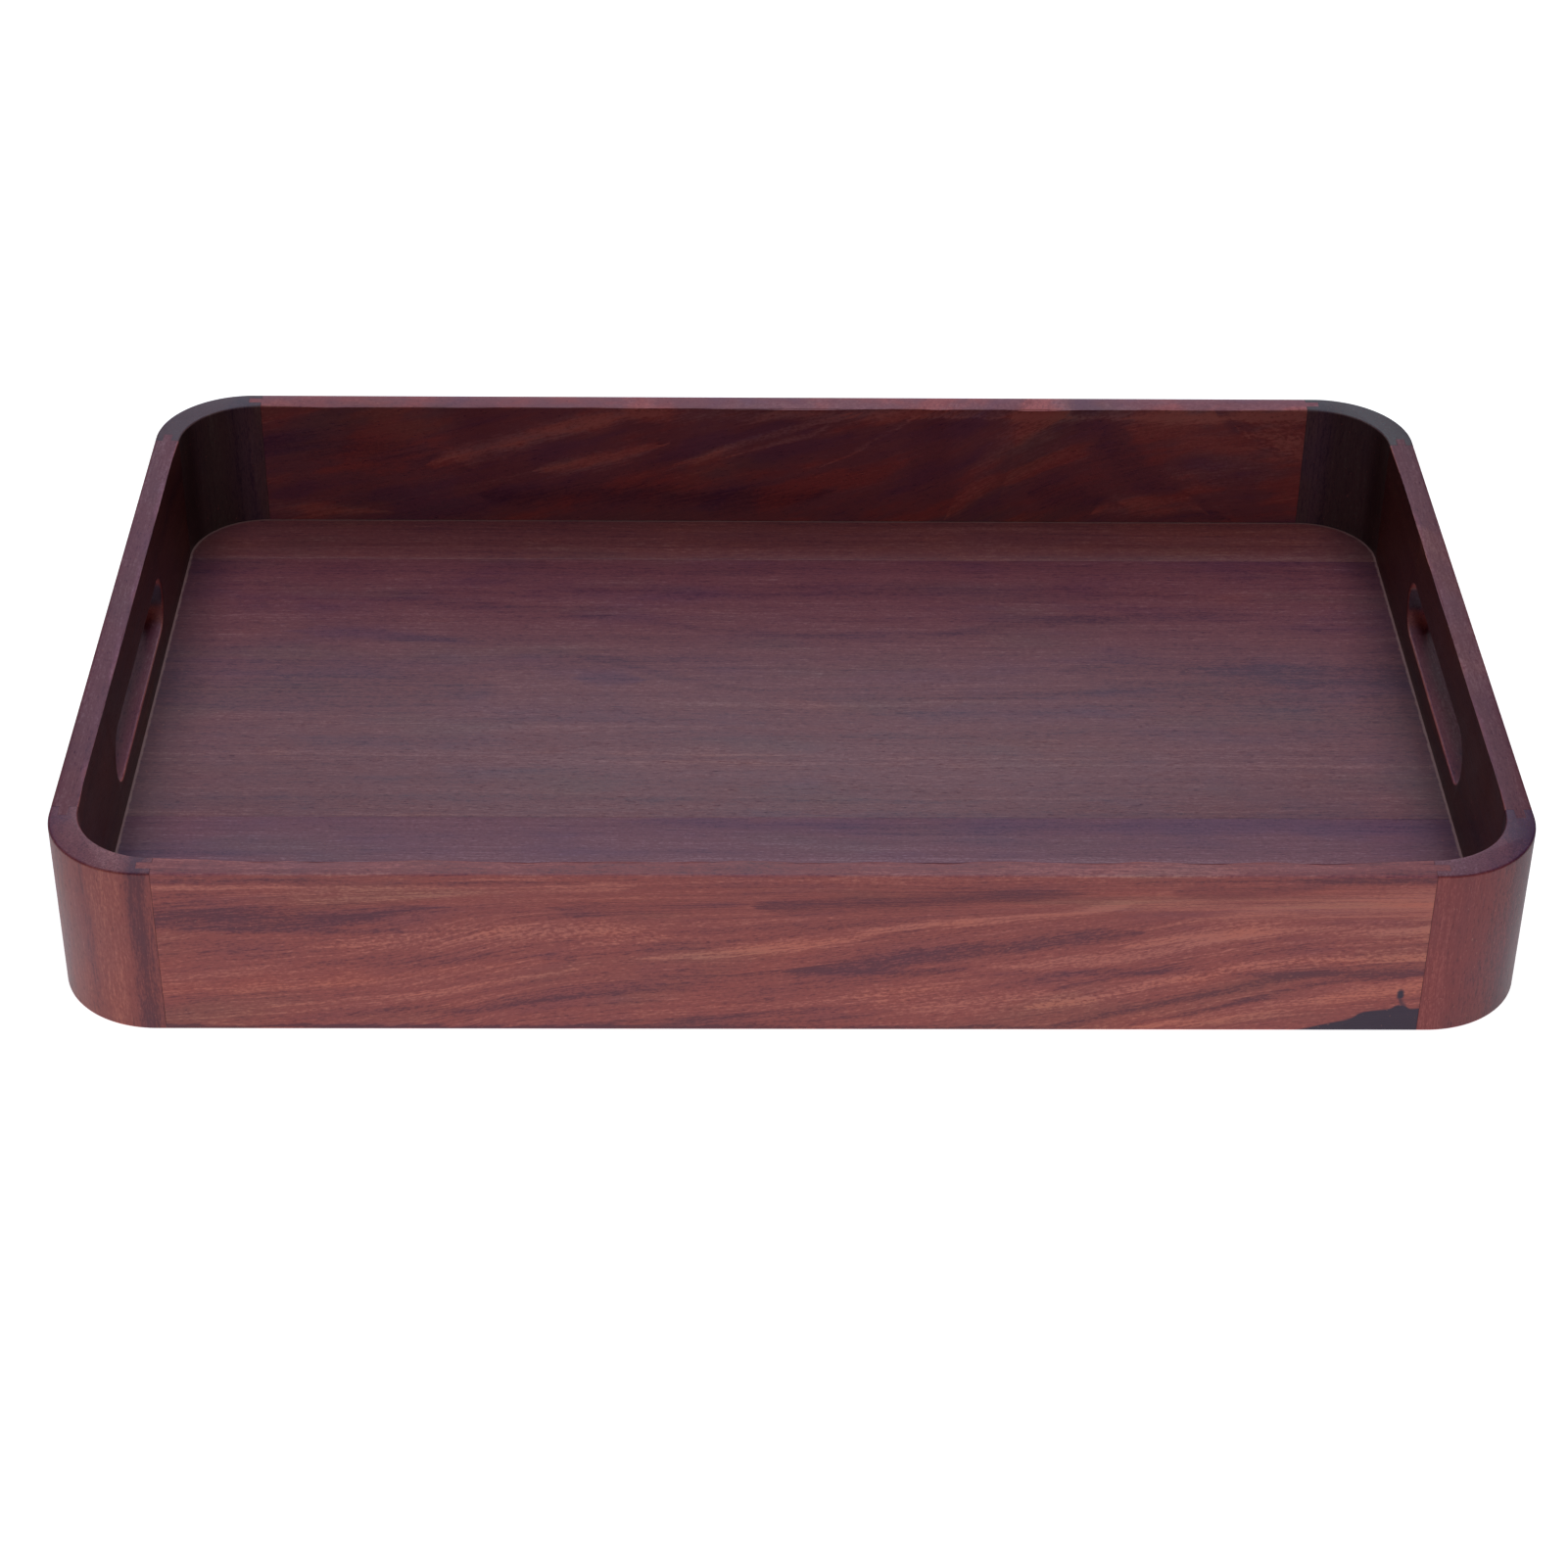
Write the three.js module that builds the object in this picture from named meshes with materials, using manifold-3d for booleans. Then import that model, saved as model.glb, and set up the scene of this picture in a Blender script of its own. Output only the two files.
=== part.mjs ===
// Wooden serving tray: a low frame of four rails and four rounded corner blocks round a veneered base panel.
//
// The tray stands on the bottom edges of its frame. X runs along its length, Y from front to back and Z up,
// with the origin at the middle of the footprint, on the surface that the tray stands on. Millimetres.

import * as THREE from 'three';
import { mergeVertices } from 'three/addons/utils/BufferGeometryUtils.js';
import Module from 'manifold-3d';

const wasm = await Module();
wasm.setup();

// ---------------------------------------------------------------------------------------------------------
// Driving dimensions

const LENGTH = 455;
const WIDTH = 300;
const HEIGHT = 59;
const WALL = 8.7;

// Corner blocks: two short straight legs joined by a quarter turn.
const BLOCK_LEG = 35;
const OUTER_RADIUS = 32;
const INNER_RADIUS = 26;

// The tongue on each end of a rail and the play that its groove in the block leaves round it.
const TONGUE_THICKNESS = 3;
const TONGUE_LENGTH = 4.5;
const TONGUE_SIDE_PLAY = 0.15;
const TONGUE_TIP_PLAY = 0.5;

// Hand slots in the two end rails: straight top and bottom, round ends.
const SLOT_LENGTH = 108;
const SLOT_HEIGHT = 19.5;
const SLOT_CENTRE_Z = 31.85;

// Base panel, held in a groove that runs round the inside of the frame.
const PANEL_BOTTOM_Z = 6;
const GROOVE_DEPTH = 4;
const GROOVE_EDGE_PLAY = 0.25;
const GROOVE_FACE_PLAY = 0.15;
const FACE_VENEER = 0.625;
const INNER_PLY = 1.25;

// The two straight seams between the three leaves of the panel's face veneer.
const BACK_SEAM_Y = 113;
const FRONT_SEAM_Y = -52;

const ARC_STEPS = 16;

// ---------------------------------------------------------------------------------------------------------
// Derived dimensions

const PANEL_THICKNESS = 2 * FACE_VENEER + 3 * INNER_PLY;
const GROOVE_BOTTOM_Z = PANEL_BOTTOM_Z - GROOVE_FACE_PLAY;
const GROOVE_HEIGHT = PANEL_THICKNESS + 2 * GROOVE_FACE_PLAY;

// How far the panel's edge stands in from the frame's outer face, and the radius of its corners.
const PANEL_INSET = WALL - GROOVE_DEPTH + GROOVE_EDGE_PLAY;
const PANEL_RADIUS = INNER_RADIUS + GROOVE_DEPTH - GROOVE_EDGE_PLAY;

// ---------------------------------------------------------------------------------------------------------
// Materials

const RAIL_WOOD = { color: 0x7c4338, roughness: 0.42, metalness: 0 };
const BLOCK_WOOD = { color: 0x743a30, roughness: 0.42, metalness: 0 };
const FACE_WOOD = { color: 0x5a3434, roughness: 0.45, metalness: 0 };
const PLY_WOOD = { color: 0x9a7652, roughness: 0.8, metalness: 0 };

function namedMesh(name, geometry, finish) {
  const mesh = new THREE.Mesh(geometry, new THREE.MeshStandardMaterial(finish));
  mesh.name = name;
  return mesh;
}

// ---------------------------------------------------------------------------------------------------------
// Solid cutting

function toSolid(geometry) {
  const bare = geometry.clone();
  bare.deleteAttribute('normal');
  bare.deleteAttribute('uv');
  const merged = mergeVertices(bare);
  return new wasm.Manifold(new wasm.Mesh({
    numProp: 3,
    vertProperties: new Float32Array(merged.attributes.position.array),
    triVerts: new Uint32Array(merged.index.array),
  }));
}

function toGeometry(solid) {
  const mesh = solid.getMesh();
  const geometry = new THREE.BufferGeometry();
  geometry.setAttribute('position', new THREE.BufferAttribute(mesh.vertProperties, 3));
  geometry.setIndex(new THREE.BufferAttribute(mesh.triVerts, 1));
  geometry.computeVertexNormals();
  return geometry;
}

function cut(geometry, cutters) {
  const solid = cutters.reduce((left, cutter) => left.subtract(toSolid(cutter)), toSolid(geometry));
  return toGeometry(solid);
}

function upright(shape, height) {
  return new THREE.ExtrudeGeometry(shape, { depth: height, bevelEnabled: false, curveSegments: ARC_STEPS });
}

// ---------------------------------------------------------------------------------------------------------
// Rails. A rail is made lying along X with the middle of its foot at the origin and its inner face at +Y.

function railShape(span) {
  const end = span / 2;
  const tip = end + TONGUE_LENGTH;
  const face = WALL / 2;
  const cheek = TONGUE_THICKNESS / 2;
  return new THREE.Shape([
    new THREE.Vector2(-end, -face),
    new THREE.Vector2(end, -face),
    new THREE.Vector2(end, -cheek),
    new THREE.Vector2(tip, -cheek),
    new THREE.Vector2(tip, cheek),
    new THREE.Vector2(end, cheek),
    new THREE.Vector2(end, face),
    new THREE.Vector2(-end, face),
    new THREE.Vector2(-end, cheek),
    new THREE.Vector2(-tip, cheek),
    new THREE.Vector2(-tip, -cheek),
    new THREE.Vector2(-end, -cheek),
  ]);
}

function railGrooveCutter(span) {
  const groove = new THREE.BoxGeometry(span + 4 * TONGUE_LENGTH, 2 * GROOVE_DEPTH, GROOVE_HEIGHT);
  groove.translate(0, WALL / 2, GROOVE_BOTTOM_Z + GROOVE_HEIGHT / 2);
  return groove;
}

function handSlotCutter() {
  const radius = SLOT_HEIGHT / 2;
  const straight = SLOT_LENGTH / 2 - radius;
  const stadium = new THREE.Shape();
  stadium.moveTo(-straight, -radius);
  stadium.lineTo(straight, -radius);
  stadium.absarc(straight, 0, radius, -Math.PI / 2, Math.PI / 2);
  stadium.lineTo(-straight, radius);
  stadium.absarc(-straight, 0, radius, Math.PI / 2, 3 * Math.PI / 2);
  const slot = upright(stadium, 2 * WALL);
  slot.rotateX(Math.PI / 2);
  slot.translate(0, WALL, SLOT_CENTRE_Z);
  return slot;
}

function rail(name, span, turn, distance, extraCutters) {
  const cutters = [railGrooveCutter(span), ...extraCutters];
  const mesh = namedMesh(name, cut(upright(railShape(span), HEIGHT), cutters), RAIL_WOOD);
  mesh.position.y = WALL / 2 - distance;
  const side = new THREE.Group();
  side.rotation.z = turn;
  side.add(mesh);
  return side;
}

// ---------------------------------------------------------------------------------------------------------
// Corner blocks. A block is made for the back right corner, with the frame's outer corner at the origin.

function blockShape() {
  const inner = WALL + INNER_RADIUS;
  const grooveHalf = TONGUE_THICKNESS / 2 + TONGUE_SIDE_PLAY;
  const near = -WALL / 2 + grooveHalf;
  const far = -WALL / 2 - grooveHalf;
  const floor = -BLOCK_LEG + TONGUE_LENGTH + TONGUE_TIP_PLAY;
  const shape = new THREE.Shape();
  shape.moveTo(-BLOCK_LEG, 0);
  shape.lineTo(-BLOCK_LEG, near);
  shape.lineTo(floor, near);
  shape.lineTo(floor, far);
  shape.lineTo(-BLOCK_LEG, far);
  shape.lineTo(-BLOCK_LEG, -WALL);
  shape.lineTo(-inner, -WALL);
  shape.absarc(-inner, -inner, INNER_RADIUS, Math.PI / 2, 0, true);
  shape.lineTo(-WALL, -BLOCK_LEG);
  shape.lineTo(far, -BLOCK_LEG);
  shape.lineTo(far, floor);
  shape.lineTo(near, floor);
  shape.lineTo(near, -BLOCK_LEG);
  shape.lineTo(0, -BLOCK_LEG);
  shape.lineTo(0, -OUTER_RADIUS);
  shape.absarc(-OUTER_RADIUS, -OUTER_RADIUS, OUTER_RADIUS, 0, Math.PI / 2);
  return shape;
}

function blockGrooveCutter() {
  const inner = WALL + INNER_RADIUS;
  const wall = GROOVE_DEPTH - WALL;
  const beyond = -2 * BLOCK_LEG;
  const shape = new THREE.Shape();
  shape.moveTo(beyond, beyond);
  shape.lineTo(wall, beyond);
  shape.lineTo(wall, -inner);
  shape.absarc(-inner, -inner, INNER_RADIUS + GROOVE_DEPTH, 0, Math.PI / 2);
  shape.lineTo(beyond, wall);
  const groove = upright(shape, GROOVE_HEIGHT);
  groove.translate(0, 0, GROOVE_BOTTOM_Z);
  return groove;
}

function cornerBlock(name, sideX, sideY, turn) {
  const mesh = namedMesh(name, cut(upright(blockShape(), HEIGHT), [blockGrooveCutter()]), BLOCK_WOOD);
  mesh.position.set(sideX * LENGTH / 2, sideY * WIDTH / 2, 0);
  mesh.rotation.z = turn;
  return mesh;
}

// ---------------------------------------------------------------------------------------------------------
// Base panel. Every layer has the panel's rounded outline; the face veneer is split at its two seams.

const PANEL_HALF_LENGTH = LENGTH / 2 - PANEL_INSET;
const PANEL_HALF_WIDTH = WIDTH / 2 - PANEL_INSET;

function panelShape(front = -PANEL_HALF_WIDTH, back = PANEL_HALF_WIDTH) {
  const end = PANEL_HALF_LENGTH;
  const centreX = end - PANEL_RADIUS;
  const centreY = PANEL_HALF_WIDTH - PANEL_RADIUS;
  const quarter = Math.PI / 2;
  const shape = new THREE.Shape();
  if (front === -PANEL_HALF_WIDTH) {
    shape.moveTo(-centreX, front);
    shape.absarc(centreX, -centreY, PANEL_RADIUS, -quarter, 0);
  } else {
    shape.moveTo(-end, front);
    shape.lineTo(end, front);
  }
  if (back === PANEL_HALF_WIDTH) {
    shape.absarc(centreX, centreY, PANEL_RADIUS, 0, quarter);
    shape.absarc(-centreX, centreY, PANEL_RADIUS, quarter, 2 * quarter);
  } else {
    shape.lineTo(end, back);
    shape.lineTo(-end, back);
  }
  if (front === -PANEL_HALF_WIDTH) {
    shape.absarc(-centreX, -centreY, PANEL_RADIUS, 2 * quarter, 3 * quarter);
  }
  return shape;
}

function layer(name, bottom, thickness, finish, shape = panelShape()) {
  const mesh = namedMesh(name, upright(shape, thickness), finish);
  mesh.position.z = bottom;
  return mesh;
}

function basePanel() {
  const lowerCrossband = PANEL_BOTTOM_Z + FACE_VENEER;
  const core = lowerCrossband + INNER_PLY;
  const upperCrossband = core + INNER_PLY;
  const face = upperCrossband + INNER_PLY;
  const panel = new THREE.Group();
  panel.add(
    layer('base_backing_veneer', PANEL_BOTTOM_Z, FACE_VENEER, FACE_WOOD),
    layer('base_lower_crossband', lowerCrossband, INNER_PLY, PLY_WOOD),
    layer('base_core_ply', core, INNER_PLY, PLY_WOOD),
    layer('base_upper_crossband', upperCrossband, INNER_PLY, PLY_WOOD),
    layer('base_face_leaf_front', face, FACE_VENEER, FACE_WOOD, panelShape(undefined, FRONT_SEAM_Y)),
    layer('base_face_leaf_middle', face, FACE_VENEER, FACE_WOOD, panelShape(FRONT_SEAM_Y, BACK_SEAM_Y)),
    layer('base_face_leaf_back', face, FACE_VENEER, FACE_WOOD, panelShape(BACK_SEAM_Y)),
  );
  return panel;
}

// ---------------------------------------------------------------------------------------------------------
// Assembly

function frame() {
  const longSpan = LENGTH - 2 * BLOCK_LEG;
  const endSpan = WIDTH - 2 * BLOCK_LEG;
  const quarter = Math.PI / 2;
  const group = new THREE.Group();
  group.add(
    rail('front_rail', longSpan, 0, WIDTH / 2, []),
    rail('back_rail', longSpan, 2 * quarter, WIDTH / 2, []),
    rail('left_handle_rail', endSpan, -quarter, LENGTH / 2, [handSlotCutter()]),
    rail('right_handle_rail', endSpan, quarter, LENGTH / 2, [handSlotCutter()]),
    cornerBlock('back_right_corner_block', 1, 1, 0),
    cornerBlock('back_left_corner_block', -1, 1, quarter),
    cornerBlock('front_left_corner_block', -1, -1, 2 * quarter),
    cornerBlock('front_right_corner_block', 1, -1, -quarter),
  );
  return group;
}

const tray = new THREE.Group();
tray.add(frame(), basePanel());

export default tray;
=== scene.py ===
"""Looks of a wooden serving tray: rails, corner blocks and veneered base, on a light table."""

import math

import bmesh
import bpy
from bpy.props import FloatProperty, FloatVectorProperty, IntProperty, PointerProperty
from mathutils import Matrix, Vector


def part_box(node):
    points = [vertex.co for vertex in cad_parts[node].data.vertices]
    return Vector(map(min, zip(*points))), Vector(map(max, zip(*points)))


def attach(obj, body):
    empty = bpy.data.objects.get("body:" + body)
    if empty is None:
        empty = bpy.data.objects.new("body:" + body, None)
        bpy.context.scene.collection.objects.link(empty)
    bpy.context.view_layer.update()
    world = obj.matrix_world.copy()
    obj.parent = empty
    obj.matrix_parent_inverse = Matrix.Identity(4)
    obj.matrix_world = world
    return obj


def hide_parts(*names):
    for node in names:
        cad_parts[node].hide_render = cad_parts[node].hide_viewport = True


bl_info = {
    "name": "Wooden serving tray",
    "version": (1, 0, 0),
    "blender": (4, 5, 0),
    "location": "View3D > Sidebar > Serving tray",
    "description": "Models a tongue-and-groove serving tray round its fixed frame",
    "category": "Add Mesh",
}

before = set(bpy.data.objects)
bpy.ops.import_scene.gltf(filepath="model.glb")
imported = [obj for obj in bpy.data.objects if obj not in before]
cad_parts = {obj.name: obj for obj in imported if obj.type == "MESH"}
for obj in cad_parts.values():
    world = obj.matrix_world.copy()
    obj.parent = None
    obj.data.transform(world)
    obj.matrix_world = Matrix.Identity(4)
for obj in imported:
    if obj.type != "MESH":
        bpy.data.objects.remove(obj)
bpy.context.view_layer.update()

MM = 0.001

# Places that the frame gives, in metres.
RAIL_LOW, RAIL_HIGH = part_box("back_rail")
BLOCK_LOW, BLOCK_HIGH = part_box("back_right_corner_block")
BACKING_LOW, BACKING_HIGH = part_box("base_backing_veneer")
LEAF_LOW, LEAF_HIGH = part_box("base_face_leaf_back")

HALF_LENGTH = BLOCK_HIGH.x
HALF_WIDTH = BLOCK_HIGH.y
HEIGHT = RAIL_HIGH.z
WALL = RAIL_HIGH.y - RAIL_LOW.y
BLOCK_LEG = BLOCK_HIGH.x - BLOCK_LOW.x
TONGUE_LENGTH = RAIL_HIGH.x - BLOCK_LOW.x
FLOOR_TOP = LEAF_HIGH.z
PANEL_BOTTOM = BACKING_LOW.z
PANEL_HALF_LENGTH = LEAF_HIGH.x
PANEL_HALF_WIDTH = LEAF_HIGH.y
WELL_HALF_LENGTH = HALF_LENGTH - WALL
WELL_HALF_WIDTH = HALF_WIDTH - WALL
INNER_RADIUS = 26 * MM

NEAR = 1e-5  # two points closer than this are the same when edges are picked
DIAGONAL = math.sqrt(0.5)  # each part of a direction half way between two axes
SMOOTH_ANGLE = math.radians(32)  # faces that meet at less than this are shaded as one


# ----------------------------------------------------------------------------
# What a user would change


def length(name, description, default):
    return FloatProperty(name=name, description=description, default=default, unit="LENGTH", precision=5)


def colour(name, description, default):
    return FloatVectorProperty(
        name=name, description=description, default=default, size=3, subtype="COLOR", min=0, max=1
    )


class TraySizes(bpy.types.PropertyGroup):
    """Sizes of the joints, the slots and the eased edges."""

    outer_radius: length("Outer corner radius", "Radius of the frame's outer corners", 32 * MM)
    inner_radius: length("Inner corner radius", "Radius of the corners inside the well", INNER_RADIUS)
    tongue_thickness: length("Tongue thickness", "Thickness of the tongue on a rail's end", 3 * MM)
    tongue_play: length("Tongue play", "Gap that shows on each side of a tongue and at its tip", 0.04 * MM)
    joint_line: length("Joint line", "Width of the line between a rail and its block", 0.10 * MM)
    groove_depth: length("Groove depth", "Depth of the groove that holds the base", 4 * MM)
    groove_play: length("Groove play", "Gap above and below the base in its groove", 0.15 * MM)
    slot_length: length("Slot length", "Overall length of a hand slot", 108 * MM)
    slot_height: length("Slot height", "Height of a hand slot", 19.5 * MM)
    slot_centre: length("Slot centre", "Height of a hand slot's middle above the table", 31.85 * MM)
    rim_easing: length("Rim easing", "Radius of the rim's eased edges", 0.8 * MM)
    foot_easing: length("Foot easing", "Radius of the bottom's eased edges", 0.7 * MM)
    slot_easing: length("Slot easing", "Radius of the hand slots' eased edges", 1.0 * MM)
    seam_easing: length("Seam easing", "Radius of a veneer leaf's edge along a seam", 0.1 * MM)
    sanding_depth: length("Sanding depth", "How far hand sanding left the rim's inner edge wavy", 1.4 * MM)
    easing_steps: IntProperty(name="Easing steps", description="Segments across an eased edge", default=4)
    corner_steps: IntProperty(name="Corner steps", description="Segments round a corner", default=40)


class TrayColours(bpy.types.PropertyGroup):
    """Colours of the stained wood and the light table."""

    dark: colour("Dark streaks", "Late wood and mineral streaks under the stain", (0.165, 0.037, 0.053))
    middle: colour("Stained wood", "The stain's usual colour", (0.345, 0.087, 0.081))
    light: colour("Light streaks", "Early wood that took less stain", (0.53, 0.195, 0.158))
    bark: colour("Bark pocket", "The blue-black patch and knot of the front rail", (0.050, 0.022, 0.060))
    ply: colour("Inner plies", "Unstained plies inside the base", (0.42, 0.28, 0.16))
    table: colour("Table", "The pale table under the tray", (0.80, 0.80, 0.80))


# ----------------------------------------------------------------------------
# Hand tools


def deselect():
    bpy.ops.object.select_all(action="DESELECT")


def bake_place():
    """Puts the active piece's place into its mesh."""
    bpy.ops.object.transform_apply(location=True, rotation=True, scale=True)


def activate(piece):
    deselect()
    piece.select_set(True)
    bpy.context.view_layer.objects.active = piece


def add_box(name, low, high):
    """A cube set to reach from one corner to the other, with its place in its mesh."""
    low, high = Vector(low), Vector(high)
    deselect()
    bpy.ops.mesh.primitive_cube_add(size=1, location=(low + high) / 2)
    piece = bpy.context.object
    piece.scale = high - low
    bake_place()
    piece.name = piece.data.name = name
    return piece


def pick(piece, kind, wanted):
    """Edit mode, with only those faces, edges or vertices selected that pass the test."""
    activate(piece)
    bpy.ops.object.mode_set(mode="EDIT")
    bpy.ops.mesh.select_mode(type=kind)
    bpy.ops.mesh.select_all(action="DESELECT")
    mesh = bmesh.from_edit_mesh(piece.data)
    mesh.normal_update()
    for element in {"VERT": mesh.verts, "EDGE": mesh.edges, "FACE": mesh.faces}[kind]:
        if wanted(element):
            element.select_set(True)
    mesh.select_flush_mode()
    bmesh.update_edit_mesh(piece.data)


def done():
    bpy.ops.object.mode_set(mode="OBJECT")


def round_picked(radius, steps):
    """Rounds the picked edges."""
    bpy.ops.mesh.bevel(offset_type="OFFSET", offset=radius, segments=steps, profile=0.5, affect="EDGES")


def ease(piece, radius, steps, wanted):
    """Rounds the edges whose two ends both pass the test."""
    pick(piece, "EDGE", lambda edge: all(wanted(v.co) for v in edge.verts))
    round_picked(radius, steps)
    done()


def slice_piece(piece, places, normal):
    """Cuts edge loops into a piece at each place along a normal, without removing anything."""
    activate(piece)
    bpy.ops.object.mode_set(mode="EDIT")
    for place in places:
        bpy.ops.mesh.select_all(action="SELECT")
        bpy.ops.mesh.bisect(plane_co=Vector(normal) * place, plane_no=normal)
    done()


def carve(piece, cutter):
    """Takes the cutter's shape out of a piece and puts the cutter away."""
    activate(piece)
    cut = piece.modifiers.new("cut", "BOOLEAN")
    cut.operation = "DIFFERENCE"
    cut.solver = "EXACT"
    cut.object = cutter
    bpy.ops.object.modifier_apply(modifier=cut.name)
    bpy.data.meshes.remove(cutter.data)


def tidy(piece):
    """Merges doubles, turns the faces outwards and shades the curved ones smooth."""
    pick(piece, "FACE", lambda face: True)
    bpy.ops.mesh.remove_doubles(threshold=1e-6)
    bpy.ops.mesh.select_all(action="SELECT")
    bpy.ops.mesh.normals_make_consistent(inside=False)
    done()
    bpy.ops.object.shade_smooth_by_angle(angle=SMOOTH_ANGLE)


def place(piece, turn, offset):
    """Turns a piece about the vertical, moves it, and puts its place into its mesh."""
    activate(piece)
    piece.matrix_world = Matrix.Translation(offset) @ Matrix.Rotation(turn, 4, "Z")
    bake_place()


def duplicate(piece, name):
    activate(piece)
    bpy.ops.object.duplicate()
    copy = bpy.context.object
    copy.name = copy.data.name = name
    return copy


def finish(piece, node, material):
    """Gives a piece its wood, hangs it from the root body and hides the part that it replaces."""
    piece.data.materials.clear()
    piece.data.materials.append(material)
    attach(piece, "root")
    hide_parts(node)


# ----------------------------------------------------------------------------
# Hand sanding


def sand_inner_edge(piece, half_span, sizes, seed):
    """Leaves the inner edge of a rail's rim a little wavy, except by its joints."""
    across, down, clear = 5 * MM, 15 * MM, 25 * MM
    group = piece.vertex_groups.new(name="rim")
    for vertex in piece.data.vertices:
        x, y, z = vertex.co
        weight = max(0.0, 1 - (WALL / 2 - y) / across) * max(0.0, 1 - (HEIGHT - z) / down)
        weight *= min(1.0, max(0.0, (half_span - abs(x)) / clear))
        if weight > 0:
            group.add([vertex.index], weight, "REPLACE")
    waves = bpy.data.textures.new(f"{piece.name}_waves", "CLOUDS")
    waves.noise_scale = 24 * MM
    waves.contrast = 1.8
    waves.noise_depth = 2
    holder = bpy.data.objects.new(f"{piece.name}_waves", None)
    holder.location = (seed * 0.37, seed * 0.21, 0)
    bpy.context.scene.collection.objects.link(holder)
    bpy.context.view_layer.update()
    activate(piece)
    sanding = piece.modifiers.new("sanding", "DISPLACE")
    sanding.texture = waves
    sanding.texture_coords = "OBJECT"
    sanding.texture_coords_object = holder
    sanding.direction = "NORMAL"
    sanding.mid_level = 1.25  # above the texture's highest value, so that the edge only goes inwards
    sanding.strength = sizes.sanding_depth
    sanding.vertex_group = group.name
    bpy.ops.object.modifier_apply(modifier=sanding.name)
    bpy.data.objects.remove(holder)
    bpy.data.textures.remove(waves)
    piece.vertex_groups.clear()


# ----------------------------------------------------------------------------
# Rails. A rail is modelled lying along X with its inner face at +Y, then turned to its side.


def groove_heights(sizes):
    return PANEL_BOTTOM - sizes.groove_play, FLOOR_TOP + sizes.groove_play


def model_rail(name, span, sizes, slotted):
    end = span / 2 - sizes.joint_line / 2
    face = WALL / 2
    cheek = sizes.tongue_thickness / 2
    rail = add_box(name, (-end, -face, 0), (end, face, HEIGHT))

    slice_piece(rail, (-cheek, cheek), (0, 1, 0))
    for side in (-1, 1):
        pick(rail, "FACE", lambda f, s=side: f.normal.x * s > 0.9 and abs(f.calc_center_median().y) < cheek)
        reach = side * (TONGUE_LENGTH + sizes.joint_line / 2)
        bpy.ops.mesh.extrude_region_move(TRANSFORM_OT_translate={"value": (reach, 0, 0)})
        done()

    low, high = groove_heights(sizes)
    past_tongues = span / 2 + 2 * TONGUE_LENGTH
    bottom, open_side = face - sizes.groove_depth, 2 * face
    carve(rail, add_box("cutter", (-past_tongues, bottom, low), (past_tongues, open_side, high)))

    if slotted:
        carve(rail, model_slot_cutter(sizes))
        half_slot, half_height = sizes.slot_length / 2 + NEAR, sizes.slot_height / 2 + NEAR

        def on_slot_rim(p):
            inside = abs(p.x) < half_slot and abs(p.z - sizes.slot_centre) < half_height
            return inside and abs(abs(p.y) - face) < NEAR

        ease(rail, sizes.slot_easing, sizes.easing_steps, on_slot_rim)

    def on_skin(p):
        return abs(abs(p.y) - face) < NEAR

    ease(rail, sizes.rim_easing, sizes.easing_steps, lambda p: on_skin(p) and p.z > HEIGHT - NEAR)
    ease(rail, sizes.foot_easing, sizes.easing_steps, lambda p: on_skin(p) and p.z < NEAR)

    step = 8 * MM  # how far apart the rail is divided for the sanding
    count = int(span / step)
    slice_piece(rail, [(i - count / 2) * step for i in range(1, count)], (1, 0, 0))
    sand_inner_edge(rail, span / 2, sizes, len(name) + span * 10)
    tidy(rail)
    return rail


def model_slot_cutter(sizes):
    """A round bar laid through the wall, with its two halves pulled apart to a stadium."""
    radius = sizes.slot_height / 2
    deselect()
    bpy.ops.mesh.primitive_cylinder_add(
        vertices=72,
        radius=radius,
        depth=3 * WALL,
        location=(0, 0, sizes.slot_centre),
        rotation=(math.pi / 2, 0, 0),
    )
    cutter = bpy.context.object
    bake_place()
    slice_piece(cutter, (0,), (1, 0, 0))
    for side in (-1, 1):
        pick(cutter, "VERT", lambda vertex, s=side: vertex.co.x * s > NEAR)
        bpy.ops.transform.translate(value=(side * (sizes.slot_length / 2 - radius), 0, 0))
        done()
    return cutter


# ----------------------------------------------------------------------------
# Corner blocks. A block is modelled at the back right, with the frame's outer corner at the origin.


def add_corner_box(name, low, high, radius, sizes):
    """A box with its one upright edge at the high corner rounded."""
    piece = add_box(name, low, high)
    pick(
        piece,
        "EDGE",
        lambda e: all(abs(v.co.x - high[0]) < NEAR and abs(v.co.y - high[1]) < NEAR for v in e.verts),
    )
    round_picked(radius, sizes.corner_steps)
    done()
    return piece


def corner_depth(point, inset, radius):
    """How far a point is inside a quarter turn whose two straight sides are at -inset."""
    x, y = point.x + inset + radius, point.y + inset + radius
    if x > 0 and y > 0:
        return radius - math.hypot(x, y)
    return radius - max(x, y)


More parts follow.
